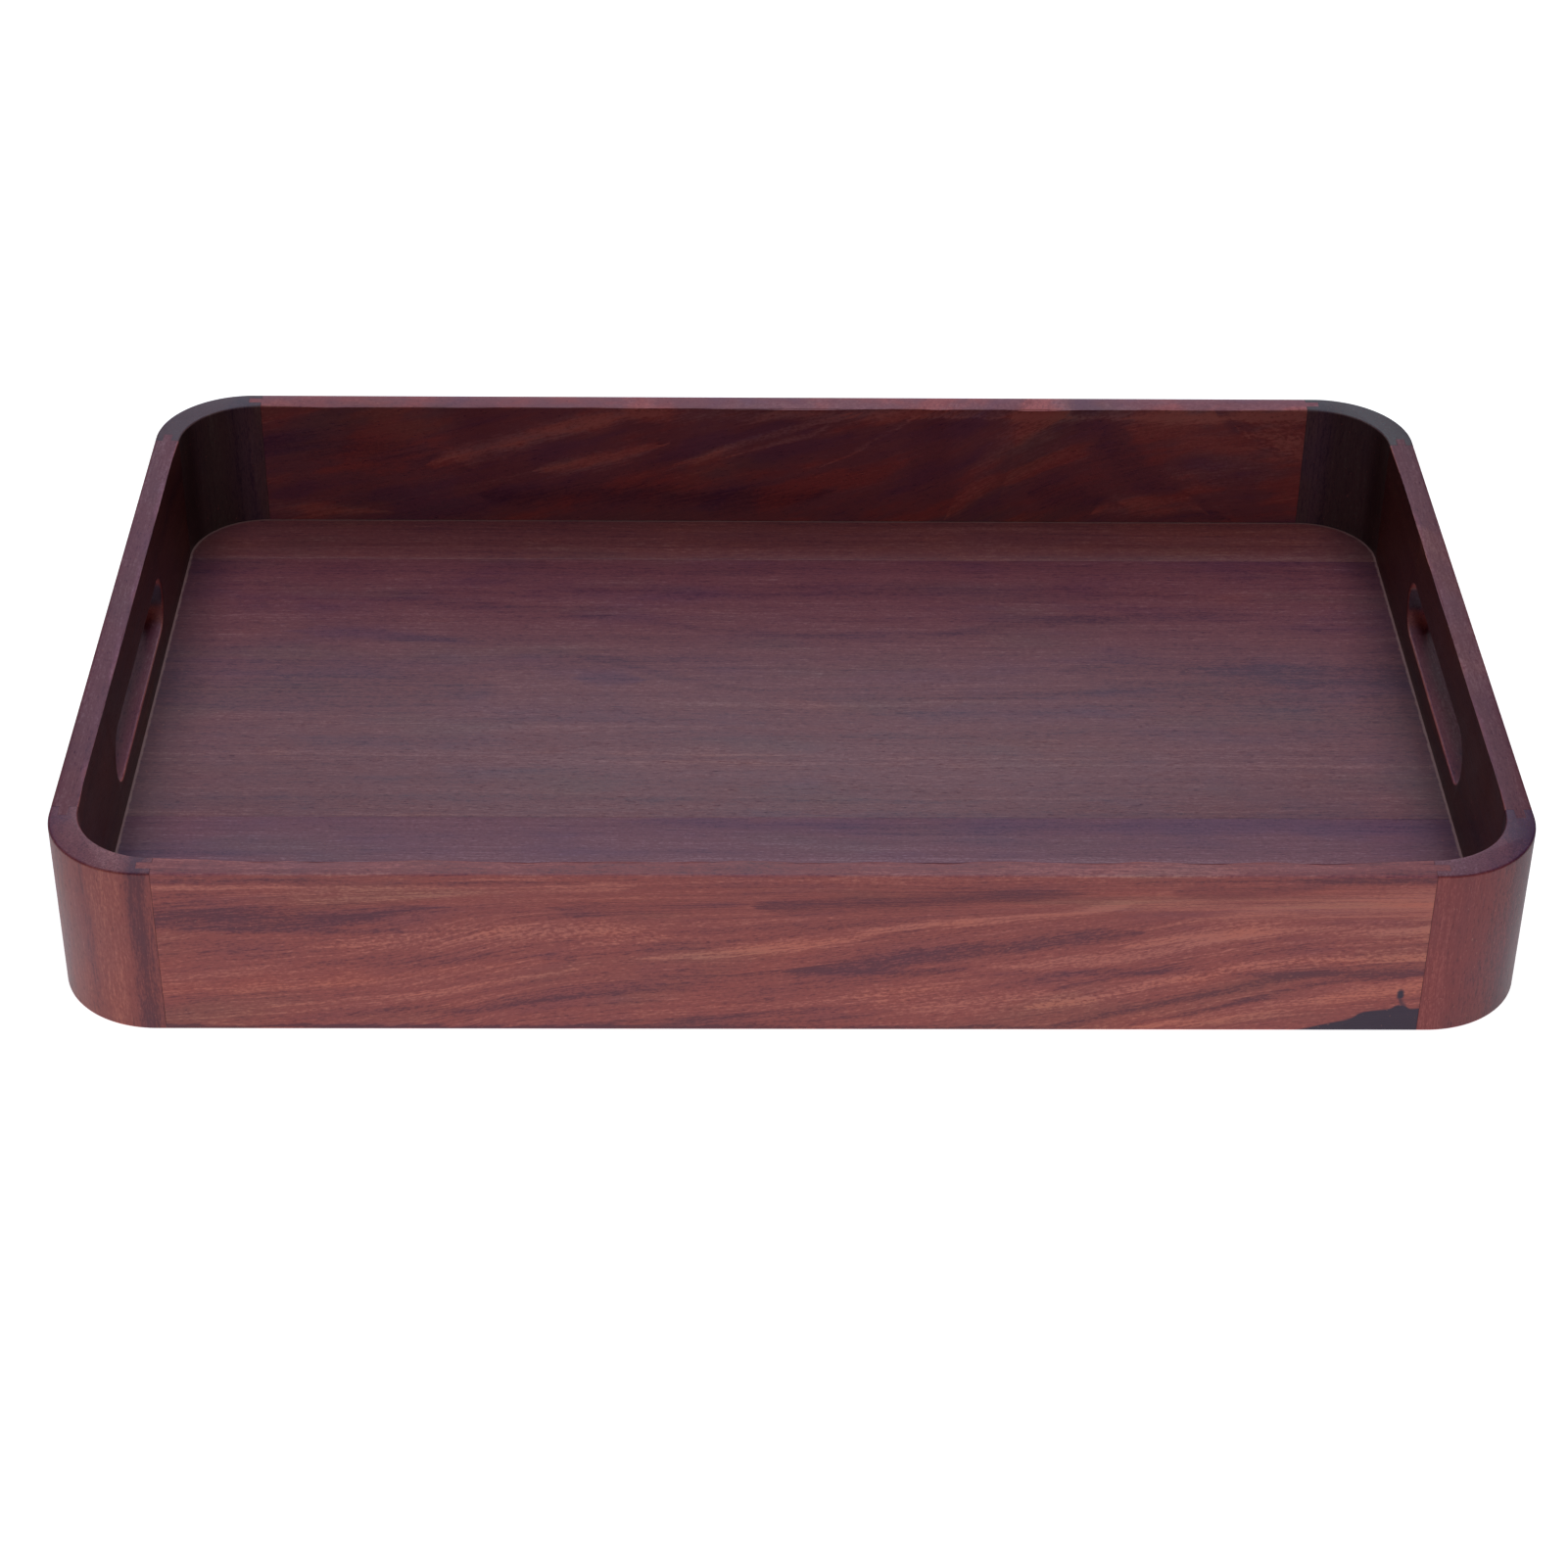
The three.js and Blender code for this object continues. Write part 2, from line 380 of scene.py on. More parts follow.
def model_corner_block(name, sizes):
    leg = BLOCK_LEG - sizes.joint_line / 2
    beyond = -2 * BLOCK_LEG
    block = add_corner_box(name, (-leg, -leg, 0), (0, 0, HEIGHT), sizes.outer_radius, sizes)
    inner_corner = (-WALL, -WALL, HEIGHT + WALL)
    well = add_corner_box("cutter", (beyond, beyond, -WALL), inner_corner, sizes.inner_radius, sizes)
    carve(block, well)

    half_groove = sizes.tongue_thickness / 2 + sizes.tongue_play
    bottom = -BLOCK_LEG + TONGUE_LENGTH + sizes.tongue_play
    near, far = -WALL / 2 + half_groove, -WALL / 2 - half_groove
    carve(block, add_box("cutter", (beyond, far, -WALL), (bottom, near, HEIGHT + WALL)))
    carve(block, add_box("cutter", (far, beyond, -WALL), (near, bottom, HEIGHT + WALL)))

    low, high = groove_heights(sizes)
    wall = sizes.groove_depth - WALL
    reach = sizes.inner_radius + sizes.groove_depth
    carve(block, add_corner_box("cutter", (beyond, beyond, low), (wall, wall, high), reach, sizes))

    def on_skin(p):
        outside = abs(corner_depth(p, 0, sizes.outer_radius)) < 2 * NEAR
        inside = abs(corner_depth(p, WALL, sizes.inner_radius)) < 2 * NEAR
        return outside or inside

    ease(block, sizes.rim_easing, sizes.easing_steps, lambda p: p.z > HEIGHT - NEAR and on_skin(p))
    ease(block, sizes.foot_easing, sizes.easing_steps, lambda p: p.z < NEAR and on_skin(p))
    tidy(block)
    return block


# ----------------------------------------------------------------------------
# Base panel


def model_leaf(name, low, high, rounded, seams, sizes):
    """A veneer leaf: rounded(point) picks its outer corners, seams are the Y places of its glued edges."""
    leaf = add_box(name, low, high)
    pick(
        leaf,
        "EDGE",
        lambda e: abs(e.verts[0].co.z - e.verts[1].co.z) > NEAR and all(rounded(v.co) for v in e.verts),
    )
    radius = sizes.inner_radius + PANEL_HALF_LENGTH - WELL_HALF_LENGTH
    if rounded(Vector(low)) or rounded(Vector(high)):
        round_picked(radius, sizes.corner_steps)
    done()
    for seam in seams:
        ease(leaf, sizes.seam_easing, 2, lambda p, y=seam: abs(p.y - y) < NEAR and p.z > high[2] - NEAR)
    tidy(leaf)
    return leaf


# ----------------------------------------------------------------------------
# Shader nodes


class Recipe:
    """Adds and links the nodes of one material, so that a wood reads like a list of layers."""

    def __init__(self, name):
        self.material = bpy.data.materials.new(name)
        self.material.use_nodes = True
        self.tree = self.material.node_tree
        self.tree.nodes.clear()

    def node(self, kind, **settings):
        made = self.tree.nodes.new(kind)
        for setting, value in settings.items():
            setattr(made, setting, value)
        return made

    def feed(self, socket, value):
        if isinstance(value, bpy.types.NodeSocket):
            self.tree.links.new(value, socket)
        else:
            socket.default_value = value

    def math(self, operation, *values, clamp=False):
        made = self.node("ShaderNodeMath", operation=operation, use_clamp=clamp)
        for socket, value in zip(made.inputs, values):
            self.feed(socket, value)
        return made.outputs[0]

    def fade(self, value, low, high):
        """0 at low and 1 at high, smoothly."""
        made = self.node("ShaderNodeMapRange", interpolation_type="SMOOTHSTEP")
        self.feed(made.inputs["Value"], value)
        made.inputs["From Min"].default_value = low
        made.inputs["From Max"].default_value = high
        return made.outputs["Result"]

    def vector(self, x, y, z):
        made = self.node("ShaderNodeCombineXYZ")
        for socket, value in zip(made.inputs, (x, y, z)):
            self.feed(socket, value)
        return made.outputs[0]

    def noise(self, vector, size, detail=2.0, roughness=0.5):
        """Noise about 0, from -0.5 to 0.5, whose grains measure size along the vector's three axes."""
        scaled = self.node("ShaderNodeVectorMath", operation="DIVIDE")
        self.feed(scaled.inputs[0], vector)
        scaled.inputs[1].default_value = size
        made = self.node("ShaderNodeTexNoise")
        self.feed(made.inputs["Vector"], scaled.outputs[0])
        made.inputs["Scale"].default_value = 1.0
        made.inputs["Detail"].default_value = detail
        made.inputs["Roughness"].default_value = roughness
        made.inputs["Distortion"].default_value = 0.0
        return self.math("SUBTRACT", made.outputs["Fac"], 0.5)

    def sum(self, *terms):
        """Adds (weight, value) terms."""
        total = 0.0
        for weight, value in terms:
            total = self.math("MULTIPLY_ADD", value, weight, total)
        return total

    def curve(self, value, points):
        """A smooth curve through (x, y) points, flat beyond its ends."""
        xs, ys = [p[0] for p in points], [p[1] for p in points]
        low, span = min(ys), max(max(ys) - min(ys), 1e-6)
        made = self.node("ShaderNodeFloatCurve")
        along = self.node("ShaderNodeMapRange")
        self.feed(along.inputs["Value"], value)
        along.inputs["From Min"].default_value = xs[0]
        along.inputs["From Max"].default_value = xs[-1]
        self.feed(made.inputs["Value"], along.outputs["Result"])
        line = made.mapping.curves[0]
        spots = [((x - xs[0]) / (xs[-1] - xs[0]), (y - low) / span) for x, y in points]
        line.points[0].location, line.points[1].location = spots[0], spots[-1]
        for spot in spots[1:-1]:
            line.points.new(*spot)
        for point in line.points:
            point.handle_type = "AUTO_CLAMPED"
        made.mapping.update()
        return self.math("MULTIPLY_ADD", made.outputs[0], span, low)

    def streak(self, along, across, points):
        """1 on a tapered streak through (along, across, half width) points, 0 away from it."""
        middle = self.curve(along, [(p[0], p[1]) for p in points])
        width = self.curve(along, [(p[0], p[2]) for p in points])
        offset = self.math("ABSOLUTE", self.math("SUBTRACT", across, middle))
        ratio = self.math("DIVIDE", offset, self.math("MAXIMUM", width, 0.01))
        ends = self.math("GREATER_THAN", width, 0.03)
        return self.math("MULTIPLY", self.fade(ratio, 1.7, 0.0), ends)

    def ramp(self, value, stops):
        made = self.node("ShaderNodeValToRGB")
        made.color_ramp.interpolation = "EASE"
        elements = made.color_ramp.elements
        elements[0].position, elements[1].position = stops[0][0], stops[-1][0]
        for position, _ in stops[1:-1]:
            elements.new(position)
        for element, (_, shade) in zip(elements, stops):
            element.color = (*shade, 1.0)
        self.feed(made.inputs["Fac"], value)
        return made.outputs["Color"]

    def mix(self, factor, first, second, blend="MIX"):
        made = self.node("ShaderNodeMix", data_type="RGBA", blend_type=blend)
        self.feed(made.inputs["Factor"], factor)
        for socket, value in zip((made.inputs[6], made.inputs[7]), (first, second)):
            self.feed(socket, value if isinstance(value, bpy.types.NodeSocket) else (*value, 1.0))
        return made.outputs[2]

    def tint(self, colour, multiplier):
        return self.mix(1.0, colour, multiplier, "MULTIPLY")

    def hypot(self, x, y):
        made = self.node("ShaderNodeVectorMath", operation="LENGTH")
        self.feed(made.inputs[0], self.vector(x, y, 0.0))
        return made.outputs["Value"]

    def surface(self, inputs):
        """Gives the material a surface with these inputs, and hands the material over."""
        shader = self.node("ShaderNodeBsdfPrincipled")
        for name, value in inputs.items():
            self.feed(shader.inputs[name], value)
        output = self.node("ShaderNodeOutputMaterial")
        self.feed(output.inputs["Surface"], shader.outputs[0])
        return self.material


# ----------------------------------------------------------------------------
# Wood. Places in a figure are millimetres along and across the grain, in the tray's own frame. A streak is
# (tone, warmth, fleck, points): tone from -1 dark to 1 light, warmth from -1 purple to 1 orange, and fleck is
# how much cross-grain ripple it shows.

FRONT_FIGURE = [
    (-0.55, -0.5, 0, [(-115, 3, 0), (-95, 8.5, 2.2), (-60, 15, 3.2), (-38, 18, 2.6), (0, 22.5, 1.6)]),
    (-0.70, -0.5, 0, [(-5, 22, 0), (20, 26, 1.8), (42, 29.5, 2.4), (80, 34.5, 2.6), (108, 38, 0)]),
    (-0.45, -0.4, 0, [(74, 15, 0), (100, 21, 1.4), (125, 25, 1.8), (152, 30.5, 1.6), (193, 34, 0.8)]),
    (-0.75, -0.3, 0, [(78, 1, 0.8), (100, 7, 2.2), (130, 15, 2.4), (160, 23, 2.2), (193, 26, 1.8)]),
    (-0.70, -0.3, 0, [(96, 1, 0), (116, 5, 1.1), (140, 12, 1.3), (165, 19, 1.3), (193, 22, 0.7)]),
    (-0.80, -0.8, 0, [(-193, 44, 4.5), (-165, 43.5, 5), (-140, 43, 4), (-118, 46, 1.5), (-100, 47, 0)]),
    (-0.40, -0.4, 0, [(-193, 39, 1.5), (-150, 38, 1.6), (-120, 37.5, 0.8), (-100, 38, 0)]),
    (-0.85, -0.6, 0, [(-14, 47.5, 0), (5, 48, 3), (30, 49, 2.8), (60, 51, 2.4), (92, 52.5, 0)]),
    (-0.65, -0.7, 0, [(112, 52.5, 0), (132, 53, 2.6), (150, 54.5, 2), (170, 57, 1.8), (193, 57.5, 1.6)]),
    (-0.60, -0.6, 0, [(-193, 56, 0.8), (-160, 56, 1), (-130, 55.5, 1.4), (-85, 56, 1), (-60, 56, 0)]),
    (-0.50, -0.4, 0, [(-175, 3, 0), (-150, 5, 1.6), (-120, 7.5, 1.8), (-95, 8, 0)]),
    (-0.35, -0.3, 0, [(-150, 25, 0), (-120, 26, 3), (-90, 27, 1.5), (-70, 29, 0)]),
    (-0.50, -0.5, 0, [(-48, 1, 1), (-20, 2.5, 3.4), (10, 5, 2.6), (34, 8, 0)]),
    (-0.35, -0.4, 0, [(-75, 47, 0), (-55, 46, 3.5), (-30, 47, 2), (-12, 48, 0)]),
    (0.55, 0.2, 0.3, [(-190, 54, 1), (-150, 53, 3), (-110, 53, 3), (-70, 54, 2.4), (-45, 55, 0)]),
    (0.40, 0.9, 0, [(-193, 16, 4.5), (-160, 16.5, 5), (-125, 19, 4.5), (-95, 24, 3), (-70, 27, 0)]),
    (0.45, 0.6, 0, [(-165, 8.5, 0), (-140, 10.5, 0.9), (-112, 14.5, 1.2), (-88, 19, 1.2), (-62, 25, 0)]),
    (0.35, 0.7, 1, [(-150, 32, 0), (-125, 34, 3.6), (-95, 37, 4.6), (-65, 37, 4.8), (-35, 36, 0)]),
    (0.75, 0.7, 0, [(-50, 27, 0), (-22, 30, 1.6), (-6, 32, 2), (10, 34, 1.7), (32, 38.5, 0)]),
    (0.70, 0.5, 0, [(16, 37, 0), (38, 40.5, 1.5), (60, 42.5, 1.5), (84, 45, 1.6), (104, 49, 0)]),
    (0.45, 0.3, 0, [(45, 21, 0), (66, 24, 2.5), (96, 28, 4), (130, 35, 3), (150, 37, 0)]),
    (0.60, 0.6, 0, [(98, 31, 0), (118, 35.5, 1.8), (150, 38.5, 2.2), (193, 38.5, 2.6)]),
    (0.55, 0.5, 0, [(104, 39, 0), (128, 43.5, 1.6), (150, 46, 2.4), (193, 48, 5)]),
    (0.55, 0.7, 1, [(70, 9, 0), (90, 12, 2.2), (118, 20, 2.2), (148, 26, 2), (193, 29, 1.6)]),
    (0.60, 1.0, 0, [(104, 1, 0), (128, 4, 2.4), (150, 8.5, 3), (172, 13.5, 3.4), (193, 17, 2.6)]),
    (0.25, 0.1, 0.7, [(0, 9, 0), (30, 12, 4), (60, 12, 6), (84, 12, 3), (100, 15, 0)]),
    (0.38, 0.0, 0.3, [(84, 47, 0), (120, 49, 5), (155, 49, 6), (193, 51, 6)]),
    (0.55, -0.2, 0, [(-193, 60, 1.5), (-150, 60, 2.2), (-110, 60, 1.2), (-90, 60, 0)]),
    (0.45, 0.3, 0, [(40, 60, 0), (80, 60, 1.6), (115, 60, 1.8), (135, 60, 0)]),
    (-0.50, -0.1, 0, [(-90, 60, 0), (-55, 60, 1.8), (0, 60, 1.8), (25, 60, 0)]),
]

BACK_FIGURE = [
    (0.95, 1.0, 0.4, [(-134, 34, 0), (-118, 39, 4.5), (-98, 45, 5), (-78, 51, 5), (-58, 56, 3)]),
    (0.75, 0.9, 0.2, [(-94, 32, 0), (-78, 35, 3.6), (-62, 38, 3.4), (-42, 44, 0)]),
    (0.80, 0.8, 0.6, [(-42, 34, 0), (-28, 39, 1.5), (-10, 46, 1.7), (12, 52, 1.5), (26, 57, 0)]),
    (0.55, 0.6, 0.6, [(-24, 37, 0), (-8, 42, 0.9), (8, 47, 1), (20, 53, 0.7), (30, 57, 0)]),
    (0.50, 0.5, 0.6, [(12, 33, 0), (22, 38, 0.8), (34, 46, 1), (48, 55, 0.6)]),
    (0.40, 0.9, 0.3, [(60, 12, 0), (70, 27, 8), (79, 41, 9), (92, 53, 7), (106, 58, 0)]),
    (0.30, 0.5, 0, [(80, 20, 0), (92, 40, 14), (108, 44, 12), (118, 50, 0)]),
    (-0.40, -0.5, 0.2,
     [(104, 60, 0), (116, 50, 10), (126, 37, 10), (140, 26, 7), (156, 17, 4), (170, 11, 0)]),
    (0.75, 1.0, 0, [(114, 14, 0), (130, 19, 5), (146, 19, 4), (160, 14, 0)]),
    (0.35, 0.6, 0, [(124, 52, 0), (140, 46, 10), (165, 40, 16), (193, 30, 14)]),
    (-0.55, -0.9, 0, [(158, 58, 0), (168, 52, 4), (176, 46, 3.6), (184, 42, 0)]),
    (0.60, 0.9, 1, [(166, 52, 0), (176, 47, 5), (193, 44, 6)]),
    (0.65, 1.0, 0, [(-193, 15, 4), (-180, 15.5, 4), (-160, 15, 2), (-145, 14, 0)]),
    (-0.70, -0.1, 0, [(-115, 22, 0), (-95, 21, 5), (-50, 22, 5), (-15, 20, 5.5), (20, 24, 0)]),
    (-0.60, -0.6, 0, [(-193, 44, 6), (-160, 42, 9), (-135, 37, 6), (-115, 32, 0)]),
    (-0.45, -0.5, 0, [(-50, 58, 0), (-35, 57, 3), (-18, 56, 2.4), (0, 58, 0)]),
    (-0.40, -0.5, 0, [(36, 56, 0), (55, 54, 4), (76, 55, 4), (90, 59, 0)]),
    (-0.45, -0.4, 0, [(90, 24, 0), (104, 22, 7), (118, 20, 4), (128, 18, 0)]),
]

LEFT_FIGURE = [
    (-0.35, -0.4, 0, [(-110, 50, 3), (-40, 52, 4), (30, 50, 3), (110, 47, 3)]),
    (0.35, 0.5, 0, [(-110, 14, 2), (-30, 15, 3), (60, 18, 3), (115, 19, 2)]),
]

RIGHT_FIGURE = [
    (0.40, 0.6, 0, [(-60, 57, 0), (-20, 58, 4), (20, 58, 4), (60, 58, 0)]),
    (-0.35, -0.5, 0, [(-115, 30, 3), (-60, 26, 4), (-20, 18, 2), (30, 15, 0)]),
]

FRONT_LEFT_FIGURE = [
    (-1.10, -0.8, 0, [(0, -196.6, 3.9), (30, -196.8, 3.7), (59, -197.2, 3.5)]),
    (0.30, 0.5, 0, [(0, -207, 4), (30, -207, 4.5), (59, -206, 5)]),
    (-0.35, -0.5, 0, [(0, -213.0, 1.2), (30, -213.6, 1.4), (59, -214.4, 1.8)]),
    (-0.40, -1.0, 0, [(0, -227, 6), (59, -227, 7)]),
]

FRONT_RIGHT_FIGURE = [
    (0.25, 0.1, 0, [(0, 197, 6), (30, 198, 7), (59, 200, 9)]),
    (-1.30, -1.3, 0, [(0, 229, 17), (59, 229, 15)]),
]

BACK_RIGHT_FIGURE = [
    (-0.35, -0.7, 0, [(0, 199, 6), (30, 199, 7), (59, 199, 6)]),
]

BACK_LEFT_FIGURE = [
    (-0.35, -0.7, 0, [(0, -199, 6), (30, -199, 7), (59, -199, 6)]),
]

FLOOR_FIGURE = [
    (-0.35, 0.0, 0, [(-219, 105, 4), (-120, 104, 5), (0, 104, 5), (120, 104, 4), (219, 104, 4)]),
    (-0.45, -0.2, 0,
     [(-150, 84, 0), (-110, 80, 4), (-41, 68, 2.5), (31, 60, 2.6), (81, 68, 3.2), (128, 74, 4),
      (175, 76, 0)]),
    (-0.40, -0.2, 0,
     [(-90, 52, 0), (-60, 43, 2.6), (-25, 28, 2.2), (25, 20, 1.8), (87, 22, 2), (142, 28, 0)]),
    (-0.50, -0.3, 0, [(-219, 30, 22), (-180, 28, 20), (-130, 26, 14), (-95, 26, 0)]),
    (-0.45, -0.1, 0, [(95, 38, 0), (140, 36, 22), (180, 28, 30), (219, 22, 32)]),
    (-0.35, -0.5, 0, [(110, 44, 0), (160, 39, 6), (190, 36, 7), (219, 36, 6)]),
    (-0.25, -0.9, 0, [(-180, 63, 0), (-155, 62, 3.5), (-128, 58, 3), (-105, 54, 0)]),
    (-0.25, -1.0, 0, [(-76, 33, 0), (-63, 32, 4), (-48, 31, 0)]),
    (-0.35, 0.1, 0, [(-150, 88, 0), (-60, 90, 4), (60, 88, 5), (150, 92, 0)]),
    (0.45, 0.3, 0, [(-214, -15, 0.6), (-130, -15.5, 0.8), (-60, -19, 0.8), (40, -20.5, 1), (215, -21, 0.8)]),
    (0.40, 0.3, 0, [(-200, -13, 0), (-120, -14, 0.5), (-20, -15, 0.6), (60, -17, 0.5), (160, -16, 0)]),
    (0.25, 0.3, 0, [(-80, -24, 0), (0, -25, 3), (80, -26, 3), (160, -27, 2), (212, -28, 1)]),
    (0.40, 0.3, 0, [(-120, -37, 0), (-40, -39, 0.7), (60, -41, 0.7), (140, -40, 0)]),
    (0.35, 0.3, 0, [(-20, -30, 0), (60, -32, 0.6), (140, -33, 0.6), (212, -32, 0.4)]),
    (0.35, 0.2, 0, [(-219, 5, 0.5), (-140, 4, 0.6), (-60, 2, 0.6), (20, 1, 0)]),
    (0.35, 0.5, 0, [(-215, -50.2, 0.5), (-110, -51, 0.5), (0, -51.5, 0.4), (100, -51, 0.4), (215, -51, 0.5)]),
    (-0.35, -0.7, 0, [(-60, -54, 0), (20, -55, 5), (110, -55, 5), (219, -58, 7)]),
    (0.30, 0.3, 0, [(-215, -75, 0), (-150, -75, 1.5), (-60, -76, 2.5), (60, -76, 2), (215, -77, 0)]),
]

# How far the grain has risen (mm) at each place along a rail, and the heights between which it settles.
FRONT_FLOW = ([(-193, 0), (-125, 6.7), (-65, 20), (-10, 25.5), (90, 40.5), (155, 53.5), (193, 57)], 42, 56)
BACK_FLOW = ([(-193, 0), (-130, 12), (-40, 36), (50, 60), (80, 75), (130, 95), (193, 105)], 90, 100)

# Painted shade, as (red, green, blue) multipliers of a wood's colour on the faces that look one way.
# painted shade on the inner faces at the tray's two ends
SHADED_SIDE_FACE = (0.30, 0.30, 0.27)
# painted shade at the hand slots' ends, on the faces that look towards the front
SHADED_SLOT_END = (0.30, 0.65, 1.00)
# painted shade on the corner blocks' rounded faces inside the well
SHADED_WELL_CORNER = (0.50, 0.55, 0.55)
# painted shade on the back blocks' outer faces: darker and redder where the rear soft box lights them
# strongly
SHADED_BACK_OUTSIDE = (1.15, 0.44, 0.42)

# Each block: node, side in X, side in Y, figure, seed, stain, end grain with the top's painted sheen.
BLOCKS = (
    ("back_right_corner_block", 1, 1, BACK_RIGHT_FIGURE, 17, (0.74, 1.55, 1.70), (0.42, 0.57, 0.66)),
    ("back_left_corner_block", -1, 1, BACK_LEFT_FIGURE, 19, (0.74, 1.42, 1.45), (0.48, 0.38, 0.68)),
    ("front_left_corner_block", -1, -1, FRONT_LEFT_FIGURE, 23, (1.20, 1.02, 1.02), (1.00, 1.25, 1.80)),
    ("front_right_corner_block", 1, -1, FRONT_RIGHT_FIGURE, 29, (0.96, 0.60, 0.72), (1.05, 1.85, 2.60)),
)

# Each leaf: node, stain, warmth, seed.
LEAVES = (
    ("base_face_leaf_front", (1.03, 1.28, 1.95), -0.15, 31),
    ("base_face_leaf_middle", (1.05, 1.18, 1.56), -0.05, 37),
    ("base_face_leaf_back", (1.08, 1.16, 1.34), 0.12, 41),
)


def grain_axes(recipe, grain):
    """Millimetres along the grain, across it and into the wood, for grain along X, Y or Z."""
    place = recipe.node("ShaderNodeTexCoord").outputs["Object"]
    split = recipe.node("ShaderNodeSeparateXYZ")
    recipe.feed(split.inputs[0], place)
    x, y, z = (recipe.math("DIVIDE", split.outputs[i], MM) for i in range(3))
    return {"X": (x, z, y), "Y": (y, z, x), "Z": (z, x, y), "FLOOR": (x, y, z)}[grain]


def wood(
    name,
    colours,
    grain,
    figure,
    seed,
    coarse=1.0,
    warmth=0.0,
    contrast=0.8,
    fine=1.1,
    mottle=1.0,
    figuring=0.9,
    specular=0.5,
    glow=(1.13, 1.02, 0.85),
    flow=None,
    stain=(1.0, 1.0, 1.0),
    faces=(),
    end_grain_and_sheen=None,
    extra=None,
):
    """Stained, lacquered wood whose rings, fibres, pores and figure follow one grain direction.

    contrast and fine are how strongly its bands and its fibres show, mottle how blotchy it is, and figuring
    how strongly its figure shows. glow is the multiplier of its warm patches. flow is (points, low, high):
    how far the grain has risen at each place along the piece, fully below low and hardly above high. stain
    multiplies the wood's colour, and the end grain multiplier tints the end grain on the top and bottom faces
    and paints the top's sheen with it. faces lists (direction, multiplier) for the faces that look that way;
    these multipliers paint highlights, sheen and shade. Two more numbers there are the cosines between which
    the multiplier sets in, for a face that is round.
    """
    recipe = Recipe(name)
    along, across, deep = grain_axes(recipe, grain)
    shifted = recipe.math("ADD", along, seed * 61.0)
    inward = recipe.math("ADD", deep, seed * 23.0)
    level = across
    if flow:
        points, low, high = flow
        hold = recipe.math("MULTIPLY_ADD", recipe.fade(across, high, low), 0.85, 0.15)
        level = recipe.math("SUBTRACT", across, recipe.math("MULTIPLY", recipe.curve(along, points), hold))
    raw = recipe.vector(shifted, level, inward)

    drift = recipe.noise(raw, (90, 26, 26), 2.0)
    tremble = recipe.noise(raw, (16, 3.0, 5), 2.0)
    swayed = recipe.sum((1.0, level), (4.5 * coarse, drift), (1.3 * coarse, tremble))
    grained = recipe.vector(shifted, swayed, inward)

    bands = recipe.noise(grained, (260, 6.5 * coarse, 16), 2.0, 0.55)
    rings = recipe.noise(grained, (120, 2.2 * coarse, 5), 3.0, 0.6)
    lines = recipe.noise(grained, (34, 0.85 * coarse, 1.4), 3.0, 0.65)
    fibres = recipe.noise(grained, (5.0, 0.45, 0.5), 2.0, 0.6)
    grit = recipe.noise(raw, (1.4, 0.7, 0.8), 2.0, 0.6)
    pores = recipe.fade(recipe.noise(grained, (2.8, 0.34, 0.36), 1.0, 0.5), 0.14, 0.26)
    slanted = recipe.sum((1.0, along), (0.8, across))
    ripple = recipe.noise(recipe.vector(slanted, swayed, deep), (1.9, 1.0, 2.5), 2.0)
    patchy = recipe.noise(raw, (34, 15, 20), 3.0, 0.6)

    warm = recipe.sum((0.9 * mottle, drift), (1.1 * mottle, patchy), (0.6 * mottle, bands), (1.0, warmth))
    flecks = recipe.math("MULTIPLY", recipe.fade(patchy, 0.02, 0.2), 0.45)
    value = recipe.sum(
        (0.80 * contrast, bands),
        (0.80 * contrast, rings),
        (0.80 * fine, lines),
        (0.80 * fine, fibres),
        (0.80 * fine, grit),
        (0.55 * mottle * contrast, patchy),
    )
    wander = recipe.sum((1.0, across), (2.8, tremble), (2.6, lines))
    for streak_tone, streak_warmth, fleck, points in figure:
        mask = recipe.streak(along, wander, points)
        value = recipe.sum((1.0, value), (streak_tone * 0.42 * figuring, mask))
        warm = recipe.sum((1.0, warm), (streak_warmth * 0.40, mask))
        if fleck:
            flecks = recipe.sum((1.0, flecks), (fleck, mask))
    value = recipe.sum((1.0, value), (1.0, recipe.math("MULTIPLY", ripple, flecks)), (-0.34, pores))
    value = recipe.math("ADD", value, 0.5)

    stained = recipe.ramp(value, [(0.08, colours.dark), (0.5, colours.middle), (0.92, colours.light)])
    orange = recipe.tint(stained, glow)
    purple = recipe.tint(stained, (0.82, 0.88, 1.16))
    stained = recipe.mix(recipe.fade(warm, 0.0, 0.55), stained, orange)
    stained = recipe.mix(recipe.fade(warm, 0.0, -0.55), stained, purple)
    green = recipe.tint(stained, (0.86, 1.10, 1.02))
    sallow = recipe.fade(recipe.noise(raw, (70, 20, 24), 2.0), 0.0, 0.25)
    stained = recipe.mix(recipe.math("MULTIPLY", sallow, min(1.0, 0.8 * mottle)), stained, green)
    stained = recipe.tint(stained, stain)
    looks = recipe.node("ShaderNodeTexCoord").outputs["Normal"]
    # Painted light and shade: each listed direction tints the faces that look that way.
    for direction, shade, *reach in faces:
        facing = recipe.node("ShaderNodeVectorMath", operation="DOT_PRODUCT")
        recipe.feed(facing.inputs[0], looks)
        facing.inputs[1].default_value = direction
        turned = recipe.tint(stained, shade)
        low, high = reach or (0.80, 0.97)
        stained = recipe.mix(recipe.fade(facing.outputs["Value"], low, high), stained, turned)
